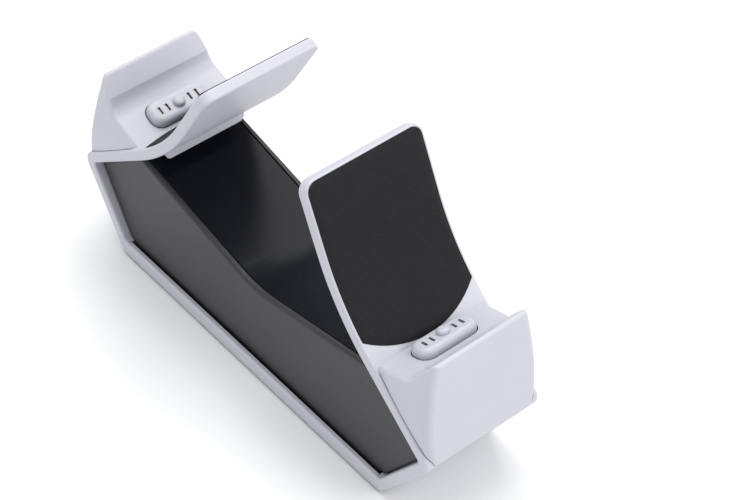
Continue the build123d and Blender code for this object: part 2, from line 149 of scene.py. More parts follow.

# %% [markdown]
# ### Crevice shade
# Corners, creases and gaps get a darker colour from this mask: painted shade, where less light reaches them.
# The Ambient Occlusion node measures how closed in a point is, on its own, without regard to the camera, so
# the mask also holds in every other view.

# %% Crevice group
crevice_inputs = [("Reach", 0.003), ("Power", 1.5)]
crevice_group, crevice_in, crevice_out = new_group("crevice_shade", crevice_inputs, ["Mask"])
crevice_ao = crevice_group.nodes.new("ShaderNodeAmbientOcclusion")
crevice_ao.samples = 8
crevice_group.links.new(crevice_in.outputs["Reach"], crevice_ao.inputs["Distance"])
# Painted shade: the more closed in a point is, the more of the darker colour it gets.
crevice_closed = math_node(crevice_group, "SUBTRACT", 1.0, crevice_ao.outputs["AO"])
crevice_mask = math_node(crevice_group, "POWER", crevice_closed, crevice_in.outputs["Power"])
crevice_group.links.new(crevice_mask, crevice_out.inputs["Mask"])
print("group:", crevice_group.name, "nodes:", len(crevice_group.nodes))

# %% [markdown]
# ## A finish from the groups
# Every finish here is the same recipe with other numbers: two near colours mixed by the drift, a darker
# colour painted into the crevices as shade, and the grain for bump and roughness. One function builds it, so
# each material below reads as its list of numbers.

# %% Finish builder
bump_strength = 0.35


def place_group(tree, group, **values):
    """Group node in a material, with its inputs set by name."""
    node = tree.nodes.new("ShaderNodeGroup")
    node.node_tree = group
    for label, value in values.items():
        node.inputs[label].default_value = value
    return node


def mix_colours(tree, mask, first, second):
    """Colour that goes from the first to the second with a mask; each is a socket or an RGB triple."""
    node = tree.nodes.new("ShaderNodeMix")
    node.data_type = "RGBA"
    tree.links.new(mask, node.inputs["Factor"])
    for label, value in (("A", first), ("B", second)):
        socket = next(s for s in node.inputs if s.name == label and s.type == "RGBA")
        if isinstance(value, tuple):
            socket.default_value = (*value, 1.0)
        else:
            tree.links.new(value, socket)
    return next(s for s in node.outputs if s.type == "RGBA")


def map_range(tree, value, low, high):
    """Value from 0..1 spread over low..high."""
    node = tree.nodes.new("ShaderNodeMapRange")
    tree.links.new(value, node.inputs["Value"])
    node.inputs["To Min"].default_value = low
    node.inputs["To Max"].default_value = high
    return node.outputs[0]


def finish(name, tone, tone_far, crevice_shade_tone, rough, grain_scale, grain_depth,
           metallic=0.0, specular=0.5, drift_scale=30.0, reach=0.003):
    """Material made from drift, painted shade in crevices, and grain. rough is its lowest and highest
    roughness.
    """
    material = bpy.data.materials.new(name)
    material.use_nodes = True
    tree = material.node_tree
    shader = tree.nodes["Principled BSDF"]
    shader.inputs["Metallic"].default_value = metallic
    shader.inputs["Specular IOR Level"].default_value = specular
    drift = place_group(tree, drift_group, Scale=drift_scale)
    closed = place_group(tree, crevice_group, Reach=reach)
    grain = place_group(tree, grain_group, Scale=grain_scale)
    base = mix_colours(tree, drift.outputs["Mask"], tone, tone_far)
    # Painted shade: the darker tone goes into the base colour where the mask finds corners and gaps.
    shaded = mix_colours(tree, closed.outputs["Mask"], base, crevice_shade_tone)
    tree.links.new(shaded, shader.inputs["Base Color"])
    tree.links.new(map_range(tree, grain.outputs["Fleck"], *rough), shader.inputs["Roughness"])
    bump = tree.nodes.new("ShaderNodeBump")
    bump.inputs["Strength"].default_value = bump_strength
    bump.inputs["Distance"].default_value = grain_depth
    tree.links.new(grain.outputs["Height"], bump.inputs["Height"])
    tree.links.new(bump.outputs["Normal"], shader.inputs["Normal"])
    return material


def dress(material, *names):
    """Give a material to CAD nodes by name."""
    for name in names:
        slots = nodes[name].data.materials
        slots.clear()
        slots.append(material)
    print(material.name, "->", ", ".join(names))


print("finish builder ready, from", ", ".join(g.name for g in (drift_group, crevice_group, grain_group)))

# %% [markdown]
# ## White plastic
# The frame, the lips and the connector blocks are a cool satin white. Pure white would burn out under studio
# light and lose the soft shading of the bends, so the colour stays well under 1 and leans a little to blue.

# %% White mouldings
white_plastic = finish(
    "white_plastic",
    tone=(0.565, 0.565, 0.620), tone_far=(0.545, 0.545, 0.600), crevice_shade_tone=(0.26, 0.26, 0.31),
    rough=(0.36, 0.46), grain_scale=2200.0, grain_depth=0.00002, reach=0.005)
dress(white_plastic, "base_tray", "rear_cradle", "front_cradle", "rear_lip", "front_lip",
      "rear_connector", "front_connector")

# %% [markdown]
# ## Satin black side panels and the black deck
# The side panels are a dark satin plastic with a slight grain, so they catch a broad grey sheen. The deck is
# smoother and darker, a bluish black that shows soft reflections of what stands over it. The power inlet and
# the chips are a plain matt black, and so are the beads that we lay in the gaps further down, whose black
# paints the shade in the gaps.

# %% Black mouldings
satin_black = finish(
    "satin_black",
    tone=(0.026, 0.026, 0.029), tone_far=(0.033, 0.033, 0.036), crevice_shade_tone=(0.003, 0.003, 0.004),
    rough=(0.40, 0.52), grain_scale=1600.0, grain_depth=0.00004)
dress(satin_black, "left_panel", "right_panel")
deck_black = finish(
    "deck_black",
    tone=(0.0035, 0.004, 0.008), tone_far=(0.005, 0.0055, 0.010), crevice_shade_tone=(0.001, 0.001, 0.002),
    rough=(0.20, 0.28), grain_scale=2600.0, grain_depth=0.00001, specular=0.14)
dress(deck_black, "deck")
jack_black = finish(
    "jack_black",
    tone=(0.020, 0.020, 0.021), tone_far=(0.026, 0.026, 0.027), crevice_shade_tone=(0.004, 0.004, 0.004),
    rough=(0.45, 0.6), grain_scale=1400.0, grain_depth=0.00004)
dress(jack_black, "inlet_jack", "charge_chips")

# %% [markdown]
# ## Rubber
# The pads on the back plates and the feet are soft rubber: nearly no shine, and a coarser grain than the
# plastic has. A rougher range and a deeper bump make the same recipe read as rubber. The sleeve of the
# ribbon leads is a little smoother.

# %% Rubber pads, feet and leads
pad_rubber = finish(
    "pad_rubber",
    tone=(0.012, 0.012, 0.014), tone_far=(0.017, 0.017, 0.019), crevice_shade_tone=(0.004, 0.004, 0.005),
    rough=(0.68, 0.86), grain_scale=1300.0, grain_depth=0.00009, specular=0.22)
dress(pad_rubber, "rear_pad", "front_pad")
foot_rubber = finish(
    "foot_rubber",
    tone=(0.022, 0.022, 0.023), tone_far=(0.030, 0.030, 0.031), crevice_shade_tone=(0.008, 0.008, 0.008),
    rough=(0.72, 0.9), grain_scale=1000.0, grain_depth=0.0001, specular=0.25)
lead_sleeve = finish(
    "lead_sleeve",
    tone=(0.020, 0.020, 0.021), tone_far=(0.028, 0.028, 0.029), crevice_shade_tone=(0.006, 0.006, 0.006),
    rough=(0.5, 0.65), grain_scale=1800.0, grain_depth=0.00004)
dress(lead_sleeve, "rear_leads", "front_leads")

# %% [markdown]
# ## Metal and boards
# The contact blades are plated in a warm metal, and the screws are zinc. Metal takes its colour from its
# reflections, so Metallic is 1 and the two colours of the recipe become a light tarnish. The boards are
# lacquered green, and the sockets on them are a warm white plastic.

# %% Plated parts and boards
contact_metal = finish(
    "contact_metal",
    tone=(0.42, 0.36, 0.27), tone_far=(0.34, 0.29, 0.21), crevice_shade_tone=(0.02, 0.018, 0.014),
    rough=(0.22, 0.38), grain_scale=900.0, grain_depth=0.00001, metallic=1.0)
dress(contact_metal, "rear_contacts", "front_contacts")
screw_steel = finish(
    "screw_steel",
    tone=(0.62, 0.62, 0.64), tone_far=(0.54, 0.54, 0.55), crevice_shade_tone=(0.20, 0.20, 0.20),
    rough=(0.26, 0.44), grain_scale=1500.0, grain_depth=0.00002, metallic=1.0)
board_green = finish(
    "board_green",
    tone=(0.018, 0.10, 0.045), tone_far=(0.024, 0.13, 0.06), crevice_shade_tone=(0.006, 0.04, 0.018),
    rough=(0.30, 0.45), grain_scale=800.0, grain_depth=0.00003)
dress(board_green, "rear_contact_board", "front_contact_board", "main_board")
socket_white = finish(
    "socket_white",
    tone=(0.74, 0.71, 0.62), tone_far=(0.70, 0.66, 0.57), crevice_shade_tone=(0.34, 0.32, 0.27),
    rough=(0.42, 0.55), grain_scale=1500.0, grain_depth=0.00003)
dress(socket_white, "lead_sockets")

# %% [markdown]
# ## The lines that the details follow
# Thin trim has to sit exactly on the solids. Instead of reading their triangles, we write down the few sizes
# that draw the end frame from the side, and find its corners where lines cross, as a draughtsman would.
# Everything is drawn for the rear end, in millimetres along (Y) and up (Z), and mirrored for the front.

# %% Side outline of the end frame
def along(point, angle, distance):
    """Point at a distance from another, in the direction of an angle in degrees."""
    turn = math.radians(angle)
    return (point[0] + distance * math.cos(turn), point[1] + distance * math.sin(turn))


def meet(point_a, angle_a, point_b, angle_b):
    """Point where two lines cross, each given by a point and its angle."""
    ax, ay = math.cos(math.radians(angle_a)), math.sin(math.radians(angle_a))
    bx, by = math.cos(math.radians(angle_b)), math.sin(math.radians(angle_b))
    dx, dy = point_b[0] - point_a[0], point_b[1] - point_a[1]
    distance = (dx * by - dy * bx) / (ax * by - ay * bx)
    return (point_a[0] + distance * ax, point_a[1] + distance * ay)


half_length, tray_end = 90.0, 66.84
band_thickness, rail_angle, post_angle = 4.1, 38.4, 55.8
rail_height, floor_top = 6.4, 3.1
fold_height, tip_radius, lip_proud = 31.6, 4.2, 0.5
valley_run = 36.6
fold_centre = (half_length - lip_proud - tip_radius, fold_height)
fold_reach = tip_radius / math.sin(math.radians((rail_angle + post_angle) / 2))
tip = along(fold_centre, (post_angle - rail_angle) / 2, fold_reach)
rail_line = 180 - rail_angle
rail_under = along(tip, rail_line + 90, band_thickness)
post_inside = along(tip, post_angle + 90, band_thickness)
valley = along(tip, rail_line, valley_run)
print("tip", [round(v, 2) for v in tip], "valley", [round(v, 2) for v in valley])

# %% [markdown]
# ## One way to make a long thin piece
# Beads, seams and ribs are all one small section carried along a path. `sweep_strip` puts a ring of points
# at every station and joins ring to ring with quads. Each end is closed with one face, or with a ladder of
# quads where the end is curved. A curve with a bevel would do the same, but rings in code let the section
# change along the way.

# %% Piece helpers
def new_piece(name, mesh, material):
    """Object that rides on the dock, with its finish."""
    mesh.materials.append(material)
    piece = bpy.data.objects.new(name, mesh)
    bpy.context.scene.collection.objects.link(piece)
    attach(piece, "root")
    print(name, "faces:", len(mesh.polygons))
    return piece


def sweep_strip(shape, rings, level=0):
    """Join rings of points, in millimetres, into a tube inside a bmesh. Its ends are one face, or, from
    as many levels as are given, a ladder of faces between the first and the last points of the ring."""
    made = [[shape.verts.new([MM * v for v in point]) for point in ring] for ring in rings]
    count = len(made[0])
    for one, two in zip(made, made[1:]):
        for i in range(count):
            shape.faces.new((one[i], one[(i + 1) % count], two[(i + 1) % count], two[i]))
    for ring in (made[0][::-1], made[-1]):
        for k in range(level):
            shape.faces.new((ring[k], ring[k + 1], ring[-k - 2], ring[-k - 1]))
        shape.faces.new(ring[level:len(ring) - level])


def full_turn(count):
    """Angles of a full circle in equal steps."""
    return [2 * math.pi * k / count for k in range(count)]


def finish_mesh(name, shape, smooth=True):
    """Mesh from a bmesh, with its faces turned outwards."""
    bmesh.ops.recalc_face_normals(shape, faces=shape.faces)
    mesh = bpy.data.meshes.new(name)
    shape.to_mesh(mesh)
    shape.free()
    for face in mesh.polygons:
        face.use_smooth = smooth
    return mesh


print("piece helpers ready, points in units of", MM, "m")

# %% [markdown]
# ## Shadow gaps round the side panels
# Each side panel stands in the white frame with a gap of just under a millimetre all round, which shows as a
# crisp dark line. A black bead lies in the gap, a little below the panel's face, as painted shade: its black
# stands in for the shade deep in the gap. It follows the seat rail, the inner corner and the end post, and a
# second one lies in the groove along the tray.

# %% Gap beads
gap, mitre_limit = 0.9, 0.35
bead_out, bead_in, bead_run, bead_lift = 19.95, 18.9, 30.5, 0.1
groove_in, groove_out, groove_bevel = 21.32, 22.18, 0.28
groove_low, groove_shoulder, groove_top = floor_top + 0.05, 4.9, 5.15


def bead_path():
    """Y-Z points in the middle of the gap, from the deck's end round the inside of the end frame."""
    rail_mid = along(rail_under, rail_line + 90, gap / 2)
    post_mid = along(post_inside, post_angle + 90, gap / 2)
    corner = meet(rail_mid, rail_line, post_mid, post_angle)
    tray_mid = rail_height + gap / 2
    foot = meet(post_mid, post_angle, (0, tray_mid), 0)
    side = tray_end - gap / 2
    return [along(corner, rail_line, bead_run), corner, foot, (side, tray_mid), (side, floor_top + bead_lift)]


def bead_ring(before, here, after, half):
    """Two points across the path at a station, on the mitre line of its corner."""
    ways = [Vector(b) - Vector(a) for a, b in ((before, here), (here, after)) if a != b]
    way = sum((w.normalized() for w in ways), Vector((0, 0))).normalized()
    across = Vector((-way.y, way.x))
    first_across = Vector((-ways[0].y, ways[0].x)).normalized()
    reach = half / max(mitre_limit, abs(across.dot(first_across)))
    return [tuple(Vector(here) + across * side * reach) for side in (-1, 1)]


def panel_shade_beads(side):
    """Beads of one side panel, painted shade for its gaps: the two end frames and the tray's groove."""
    shape = bmesh.new()
    path = bead_path()
    for end in (1, -1):
        rings = []
        for i, here in enumerate(path):
            low, high = bead_ring(path[max(0, i - 1)], here, path[min(len(path) - 1, i + 1)], gap / 2)
            section = ((bead_out, low), (bead_out, high), (bead_in, high), (bead_in, low))
            rings.append([(side * x, end * y, z) for x, (y, z) in section])
        sweep_strip(shape, rings)
    rise = [(groove_in, groove_low), (groove_in, groove_shoulder), (groove_in + groove_bevel, groove_top)]
    fall = [(groove_out - groove_bevel, groove_top), (groove_out, groove_shoulder), (groove_out, groove_low)]
    groove_ends = (-tray_end + gap, tray_end - gap)
    sweep_strip(shape, [[(side * x, y, z) for x, z in rise + fall] for y in groove_ends])
    return finish_mesh("panel_shade_beads", shape, smooth=False)


# Painted shade: the beads' matt black stands in for the shade deep in the gaps.
for side, label in ((-1, "left_gap_shade_bead"), (1, "right_gap_shade_bead")):
    new_piece(label, panel_shade_beads(side), jack_black)

# %% [markdown]
# ## Lips with softened edges
# The solid lip has small, even rounds. On the moulding the two upright edges of the end face are softer, and
# the flanks taper upwards with a belly that is fullest low down. We draw the lip's side outline as lines
# that can be moved inwards, and stack such outlines towards each flank: moving a line in by r(1 - cos t)
# while stepping out by r sin t makes a round of radius r, and each line may have its own r.

# %% Side outline of the lip
lip_rise, lip_lean, lip_top_half, lip_foot_half = 41.7, 7.8, 19.7, 22.0
strip_angle, crease_drop, wall_angle, seat_angle = 53.4, 8.2, 75.0, 20.0
lip_belly, belly_skew = 2.1, 0.75
face_round, edge_round, crest_round, crease_round, wall_round = 2.6, 1.3, 1.1, 1.6, 6.8
round_turns = list(range(90, -1, -10))
support, arc_steps = 0.2, 7
lip_top = fold_height + lip_rise
lip_foot = (half_length, fold_height)
crest = meet(lip_foot, 90 + lip_lean, (0, lip_top), 0)
crease = meet(crest, 180 + strip_angle, (0, lip_top - crease_drop), 0)


def flank_x(z):
    """Half width of the lip at a height: a straight taper and a belly that is fullest low down."""
    share = max(0.0, (z - fold_height) / lip_rise)
    taper = lip_foot_half + (lip_top_half - lip_foot_half) * share
    return taper + lip_belly * math.sin(math.pi * share ** belly_skew)


def corner_arc(before, corner, after, radius):
    """Points of the round at a corner, with one more on each side to keep the flats flat."""
    one = (Vector(before) - Vector(corner)).normalized()
    two = (Vector(after) - Vector(corner)).normalized()
    half = one.angle(two) / 2
    reach = radius / math.tan(half)
    middle = Vector(corner) + (one + two).normalized() * radius / math.sin(half)
    first = Vector(corner) + one * reach - middle
    last = Vector(corner) + two * reach - middle
    sweep = math.pi - 2 * half
    points = [middle + first + one * support]
    for k in range(arc_steps + 1):
        part = k / arc_steps
        spoke = first * math.sin((1 - part) * sweep) + last * math.sin(part * sweep)
        points.append(middle + spoke / math.sin(sweep))
    points.append(middle + last + two * support)
    return [tuple(point) for point in points]


def lip_outline(turn):
    """Points (Y, Z, radius) of the lip's outline at a turn of its rounds, 0 on the face, 90 on the flank."""
    share = 1 - math.cos(math.radians(turn))
    face = along(lip_foot, 180 + lip_lean, face_round * share)
    strip = along(crest, strip_angle - 90, edge_round * share)
    wall = along(crease, wall_angle - 90, edge_round * share)
    seat = along(valley, seat_angle - 90, edge_round * share)
    foot = meet(face, 90 + lip_lean, (0, fold_height), 0)
    top = meet(face, 90 + lip_lean, strip, strip_angle)
    fold = meet(strip, strip_angle, wall, wall_angle)
    nook = meet(wall, wall_angle, seat, seat_angle)
    low = meet(seat, seat_angle, tip, rail_line)
    over_crest = corner_arc(foot, top, fold, crest_round)
    over_crease = corner_arc(top, fold, nook, crease_round)
    high = over_crest[0][1] - support
    drop = (high - over_crease[0][1]) / arc_steps
    back = [meet(strip, strip_angle, (0, high - drop * k), 0) for k in range(arc_steps)]
    back += over_crease + corner_arc(fold, nook, low, wall_round + edge_round * share) + [low]
    hidden = Vector(along(low, rail_line + 90, band_thickness / 2))
    hidden_steps = 2 * arc_steps
    back += [tuple(hidden.lerp(Vector(fold_centre), k / hidden_steps)) for k in range(hidden_steps + 1)]
    rise = [meet(face, 90 + lip_lean, (0, z), 0) for y, z in back[::-1]]
    made = [(*point, face_round) for point in rise]
    for k, point in enumerate(over_crest):
        made.append((*point, face_round + (edge_round - face_round) * k / (len(over_crest) - 1)))
    return made + [(*point, edge_round) for point in back]


print("crest", [round(v, 2) for v in crest], "outline points:", len(lip_outline(0)))

# %% [markdown]
# ### Window for the connector block
# A Boolean modifier cuts the lip with two prisms: the rounded window in the seat, and a pocket under it with
# room for the block's flange and its board. The cutters only exist until the cut mesh has been read.

# %% Lips
block_half, block_side, block_corner, block_gap = 11.7, 4.8, 3.95, 0.35
block_run, ring_steps = 6.6, 8
window_heights = (-4.0, 6.0)
pocket_half, pocket_low, pocket_high, pocket_corner = 14.0, -4.0, 7.0, 1.0
pocket_heights = (-9.0, -2.0)
sharp_angle = math.radians(30)
block_centre = along(valley, seat_angle, block_run)


def seat_ring(end, half, low, high, corner, height):
    """Rounded rectangle at a height over the seat: half width in X, low and high along the seat."""
    ring = []
    for x, s, start in ((half, high, 0), (-half, high, 90), (-half, low, 180), (half, low, 270)):
        middle_x = x - math.copysign(corner, x)
        middle_s = s - math.copysign(corner, s)
        for k in range(ring_steps + 1):
            a = math.radians(start + 90 * k / ring_steps)
            place = along(block_centre, seat_angle, middle_s + corner * math.sin(a))
            y, z = along(place, seat_angle + 90, height)
            ring.append((middle_x + corner * math.cos(a), end * y, z))
    return ring


def cut_with(mesh, cutter_mesh):
    """Mesh less another one, by a Boolean modifier on two short-lived objects."""
    body = bpy.data.objects.new("cut_body", mesh)
    cutter = bpy.data.objects.new("cutter", cutter_mesh)
    for part in (body, cutter):
        bpy.context.scene.collection.objects.link(part)
    cut = body.modifiers.new("cut", "BOOLEAN")
    cut.operation, cut.object, cut.use_self = "DIFFERENCE", cutter, True
    bpy.context.view_layer.update()
    made = bpy.data.meshes.new_from_object(body.evaluated_get(bpy.context.evaluated_depsgraph_get()))
    for part in (body, cutter):
        bpy.data.objects.remove(part)
    return made


def lip_row(side, end, turn, inset=0.0):
    """Ring of the lip on one side of its middle, at a turn of its rounds."""
    share = 1 - math.sin(math.radians(turn))
    return [(side * (flank_x(z) - r * share - inset), end * y, z) for y, z, r in lip_outline(turn)]


def soft_lip(end):
    """Lip with soft edges, and with the window and the pocket cut."""
    rings = [lip_row(-1, end, turn) for turn in round_turns] + [lip_row(-1, end, 0, support)]
    rings += [lip_row(1, end, 0, support)] + [lip_row(1, end, turn) for turn in round_turns[::-1]]
    levels = sum(1 for y, z, r in lip_outline(0) if r == edge_round) - 2
    shape = bmesh.new()
    sweep_strip(shape, rings, level=levels)
    body = finish_mesh("soft_lip", shape)
    half, side, corner = block_half + block_gap, block_side + block_gap, block_corner + block_gap
    cutter = bmesh.new()
    sweep_strip(cutter, [seat_ring(end, half, -side, side, corner, height) for height in window_heights])
    pocket = (pocket_half, pocket_low, pocket_high, pocket_corner)
    sweep_strip(cutter, [seat_ring(end, *pocket, height) for height in pocket_heights])
    made = cut_with(body, finish_mesh("lip_cutter", cutter, smooth=False))
    made.set_sharp_from_angle(angle=sharp_angle)
    return made


for end, label in ((1, "rear"), (-1, "front")):
    lip_piece = new_piece(f"{label}_soft_lip", soft_lip(end), white_plastic)
    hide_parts(f"{label}_lip")

# %% [markdown]
# ## Seams between the white parts
# Where the lip stands on the seat rail, and where the tray meets the end frame, a fine dark line runs along
# the joint: a real seam, darkened by the shade in it. The solids touch there without a gap, so we lay a
# thread as thin as a pencil line in the joint, and its grey paints that shade: it is real geometry, so it
# stays on the part from every side, and its ends run out into the neighbouring surfaces.

# %% Seam threads
seam_radius, ledge_drop = 0.16, 0.05
seam_runs = (34.4, 30.0, 24.0, 18.0, 13.0, 10.0)
seam_end_run, seam_end_sink, seam_end_inset = 35.8, 0.5, 1.2
joint_radius, joint_inset, joint_drop = 0.12, 0.13, 0.02
side_rail = [(22.25, 6.4), (23.1, 6.42), (23.75, 6.15), (24.0, 5.5), (24.0, 1.4), (23.75, 0.75), (23.0, 0.52)]
# Painted shade: this grey stands in for the shade in the joints, where the solids touch without a gap.
seam_shade = finish(
    "seam_shade",
    tone=(0.15, 0.15, 0.18), tone_far=(0.19, 0.19, 0.22), crevice_shade_tone=(0.08, 0.08, 0.10),
    rough=(0.5, 0.6), grain_scale=1800.0, grain_depth=0.00002)


def thread(shape, path, radius, sides=8):
    """Round thread along a path of points in millimetres."""
    rings = []
    for i, here in enumerate(path):
        way = (Vector(path[min(i + 1, len(path) - 1)]) - Vector(path[max(i - 1, 0)])).normalized()
        one = way.orthogonal().normalized()
        two = way.cross(one)
        spokes = [radius * (math.cos(t) * one + math.sin(t) * two) for t in full_turn(sides)]
        rings.append([tuple(Vector(here) + spoke) for spoke in spokes])
    sweep_strip(shape, rings)


def face_foot(inset):
    """Y-Z point where the end face, moved in, meets the rail, the fold or the ledge over the fold."""
    face = along(lip_foot, 180 + lip_lean, inset)
    on_rail = meet(face, 90 + lip_lean, tip, rail_line)
    if on_rail[1] > fold_height + tip_radius * math.cos(math.radians(rail_angle)):
        return on_rail
    out = face[0] - fold_centre[0]
    slope = math.tan(math.radians(lip_lean))
    inside = (out * slope) ** 2 - (1 + slope ** 2) * (out ** 2 - tip_radius ** 2)
    if out > tip_radius or inside < 0:
        return (half_length - inset - seam_radius, fold_height - ledge_drop)
    rise = (out * slope + math.sqrt(inside)) / (1 + slope ** 2)
    return (face[0] - slope * rise, fold_height + rise)


def lip_foot_path(end):
    """Line where the lip meets the seat rail: down one side, round the end face and up the other."""
    half = [(flank_x(z), end * y, z) for y, z in (along(tip, rail_line, run) for run in seam_runs)]
    sunk = along(along(tip, rail_line, seam_end_run), rail_line + 90, seam_end_sink)
    half.insert(0, (flank_x(sunk[1]) - seam_end_inset, end * sunk[0], sunk[1]))
    for turn in round_turns:
        y, z = face_foot(face_round * (1 - math.cos(math.radians(turn))))
        half.append((flank_x(z) - face_round * (1 - math.sin(math.radians(turn))), end * y, z))
    return half + [(-x, y, z) for x, y, z in half[::-1]]


seam_shape = bmesh.new()
for end in (1, -1):
    thread(seam_shape, lip_foot_path(end), seam_radius)
    for side in (1, -1):
        joint = [(side * (x - joint_inset), end * tray_end, z - joint_drop) for x, z in side_rail]
        thread(seam_shape, joint, joint_radius)
new_piece("seam_shade_threads", finish_mesh("seam_shade_threads", seam_shape), seam_shade)

# %% [markdown]
# ## Rubber pads with soft edges
# The solid pad is a plain sheet with square edges. A moulded rubber pad thins out towards its rim, and that
# thin rim is what shows as a fine dark line over the edge of the plate. First we find where the pad lies:
# from the valley it runs up the flat of the band, through the bend and on to the top. A distance along that
# way and a height over the band then give any point of it.

# %% Pad outline and thickness
pad_half, pad_corner, pad_round = 23.0, 4.0, 36.0
pad_thick, pad_rim, pad_taper = 0.7, 0.12, 2.6
pad_low_margin, pad_high_margin = 0.4, 0.6
plate_angle, plate_height = 62.4, 106.6
bend_radius, bend_run = 86.0, 57.9
plate_line = 180 - plate_angle
bend = along(tip, rail_line, bend_run)
bend_turn = math.radians(rail_line - plate_line)
bend_reach = bend_radius * math.tan(bend_turn / 2)
plate_top = meet(bend, plate_line, (0, plate_height), 0)
pad_low = along(valley, rail_line, pad_low_margin)
pad_high = along(plate_top, plate_line + 180, pad_high_margin)
pad_flat = math.dist(pad_low, bend) - bend_reach
pad_arc = bend_radius * bend_turn
pad_length = pad_flat + pad_arc + math.dist(bend, pad_high) - bend_reach


def pad_point(distance, height):
    """Y-Z point at a distance up the band from the pad's low end, and at a height over the band."""
    if distance < pad_flat:
        return along(along(pad_low, rail_line, distance), rail_line - 90, height)
    over = distance - pad_flat
    centre = along(along(pad_low, rail_line, pad_flat), rail_line - 90, bend_radius)
    if over < pad_arc:
        return along(centre, rail_line + 90 - math.degrees(over / bend_radius), bend_radius - height)
    start = along(centre, plate_line + 90, bend_radius - height)
    return along(start, plate_line, over - pad_arc)


def pad_row_half(distance):
    """Half width of the pad at a distance from its low end: round below, with two corners above."""
    low = math.sqrt(max(0.0, pad_round ** 2 - max(0.0, pad_round - distance) ** 2))
    corner = max(0.0, pad_corner - (pad_length - distance))
    return min(low, pad_half - pad_corner + math.sqrt(max(0.0, pad_corner ** 2 - corner ** 2)))


def pad_height(x, distance):
    """Height of the pad's face, thin at the rim and full further in."""
    to_round = pad_round - math.hypot(x, max(0.0, pad_round - distance))
    inside = min(to_round, pad_half - abs(x), pad_length - distance)
    share = min(1.0, max(0.0, inside / pad_taper))
    return pad_rim + (pad_thick - pad_rim) * math.sin(share * math.pi / 2)


print("pad length:", round(pad_length, 1), "mm, top at", [round(v, 1) for v in pad_high])

# %% [markdown]
# ### Rows of points across the pad
# We lay rows of points across the band, each as wide as the pad is there, and join row to row. A cosine
# spreads the rows and their points, so they crowd at the rim, where the rubber thins out. Each ring runs over
# the face and back along the underside, which makes a closed sheet.

# %% Pads
pad_rows, pad_columns, pad_sliver = 72, 44, 0.01


def soft_pad(end):
    """Closed sheet with a soft rim, as rings across the band."""
    shape = bmesh.new()
    rings = []
    for i in range(pad_rows + 1):
        eased = (1 - math.cos(math.pi * i / pad_rows)) / 2
        distance = pad_sliver + (pad_length - 2 * pad_sliver) * eased
        half = pad_row_half(distance)
        spread = [-half * math.cos(math.pi * k / pad_columns) for k in range(pad_columns + 1)]
        face = [(x, pad_point(distance, pad_height(x, distance))) for x in spread]
        back = [(x, pad_point(distance, pad_sliver)) for x in spread[::-1]]
        rings.append([(x, end * y, z) for x, (y, z) in face + back])
    sweep_strip(shape, rings)
    return finish_mesh("soft_pad", shape)


for end, label in ((1, "rear"), (-1, "front")):
    pad_piece = new_piece(f"{label}_soft_pad", soft_pad(end), pad_rubber)
    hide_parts(f"{label}_pad")

# %% [markdown]
# ## Screws with a cross recess
# The solids carry plain screws. Seen from below, a screw needs its domed head and the cross that the driver
# goes into. One screw is spun from a half profile, with a zigzag for its thread, and the cross is cut with
# the same Boolean helper as the lips.

# %% Screw maker
head_profile = [(0.0, -1.5), (1.2, -1.48), (2.0, -1.32), (2.45, -1.0), (2.58, -0.6), (2.58, 0.0), (1.4, 0.0)]
thread_outer, thread_inner, thread_pitch = 1.4, 1.15, 0.5
nose_radius, nose_drop, spin_steps, weld_distance = 0.5, 0.02, 28, 1e-6
cross_floor = (1.5, 0.42, -0.55)
cross_mouth = (2.9, 0.62, -1.9)


def spun_screw(shank):
    """Screw along +Z in millimetres: a domed head under the seat plane and a threaded-looking shank."""
    profile = list(head_profile)
    for i in range(int(shank / thread_pitch)):
        start = thread_pitch * i
        profile += [(thread_outer, start + thread_pitch / 2), (thread_inner, start + thread_pitch)]
    profile += [(nose_radius, shank - nose_drop), (0.0, shank)]
    shape = bmesh.new()
    points = [shape.verts.new((MM * r, 0, MM * z)) for r, z in profile]
    edges = [shape.edges.new(pair) for pair in zip(points, points[1:])]
    bmesh.ops.spin(shape, geom=points + edges, axis=(0, 0, 1), cent=(0, 0, 0), steps=spin_steps,
                   angle=2 * math.pi, use_merge=True, use_duplicate=False)
    bmesh.ops.remove_doubles(shape, verts=shape.verts, dist=weld_distance)
    return finish_mesh("screw_blank", shape)


def cross_cutter():
    """Tapered cross that the driver's tip fills: length, width and height at its floor and its mouth."""
    shape = bmesh.new()
    for turn in (0, math.pi / 2):
        made = bmesh.ops.create_cube(shape, size=1.0)["verts"]
        for vert in made:
            length, width, height = cross_floor if vert.co.z > 0 else cross_mouth
            vert.co = Vector((vert.co.x * length, vert.co.y * width, height)) * MM
            vert.co.rotate(Matrix.Rotation(turn, 3, "Z"))
    return finish_mesh("cross_cutter", shape)


def screw_set(name, node, shank, places):
    """One piece with a copy of the screw at each place: a matrix in millimetres."""
    source = cut_with(spun_screw(shank), cross_cutter())
    shape = bmesh.new()
    for place in places:
        scaled = place.copy()
        scaled.translation = place.translation * MM
        fresh = source.copy()
        fresh.transform(scaled)
        shape.from_mesh(fresh)
    piece = new_piece(name, finish_mesh(name, shape), screw_steel)
    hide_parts(node)


print("screw head:", 2 * max(r for r, z in head_profile), "mm across")

# %% [markdown]
# ### Screws in their places
# Copies of the screw's mesh go to the places and directions of the solid screws. A matrix holds both: the
# base screws point up, the board screws are flipped over, and the lip screws lean with the seat rail.

